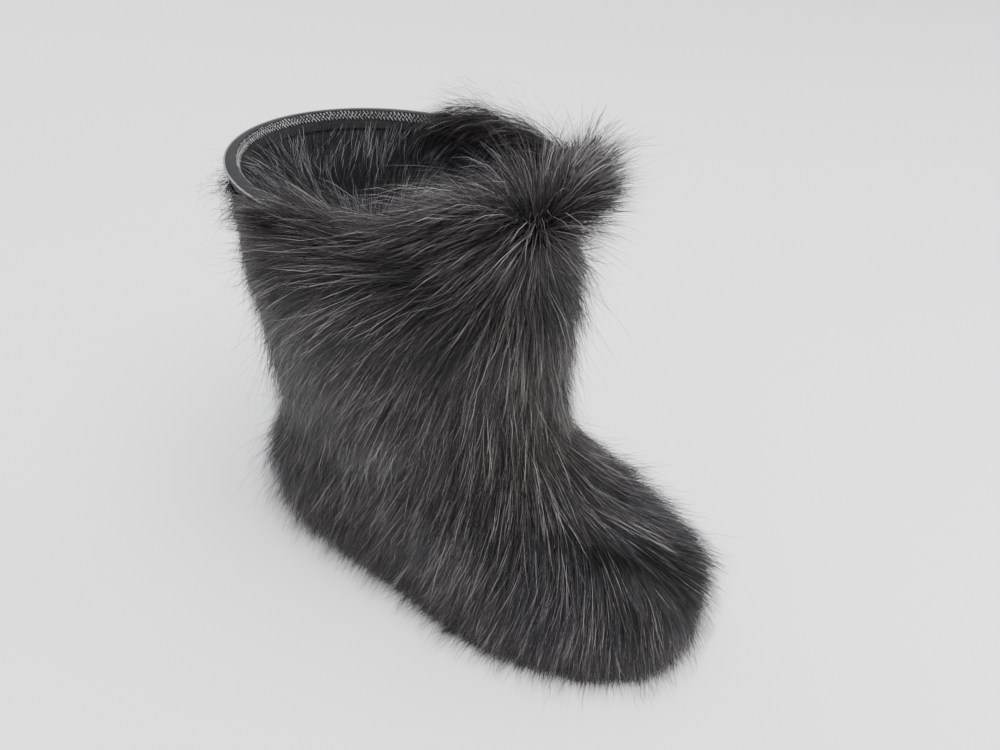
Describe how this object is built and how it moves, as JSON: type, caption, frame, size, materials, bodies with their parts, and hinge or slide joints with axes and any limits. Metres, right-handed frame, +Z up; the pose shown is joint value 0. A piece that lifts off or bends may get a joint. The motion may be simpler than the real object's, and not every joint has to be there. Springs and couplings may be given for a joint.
{
  "type": "fur boot",
  "caption": "Right winter boot covered in long dark fur, with a hollow hide upper, bound collar, felt insole and treaded rubber sole.",
  "frame": {"origin": "centre of the heel's flat contact patch on the floor", "axes": "+Z up, -Y towards the toe, +X towards the foot's inner side"},
  "size_m": [0.1756, 0.3021, 0.2816],
  "materials": {
    "rubber": "matt black moulded rubber",
    "felt": "dark grey pressed felt",
    "hide": "dark grey suede hide, plush lined",
    "fur": "long charcoal fur with a soft sheen and single paler hairs",
    "tape": "dark woven tape with pale overlock stitches"
  },
  "bodies": {
    "root": {"outsole": "rubber", "insole": "felt", "upper": "hide", "fur": "fur", "collar_binding": "tape"}
  },
  "joints": []
}
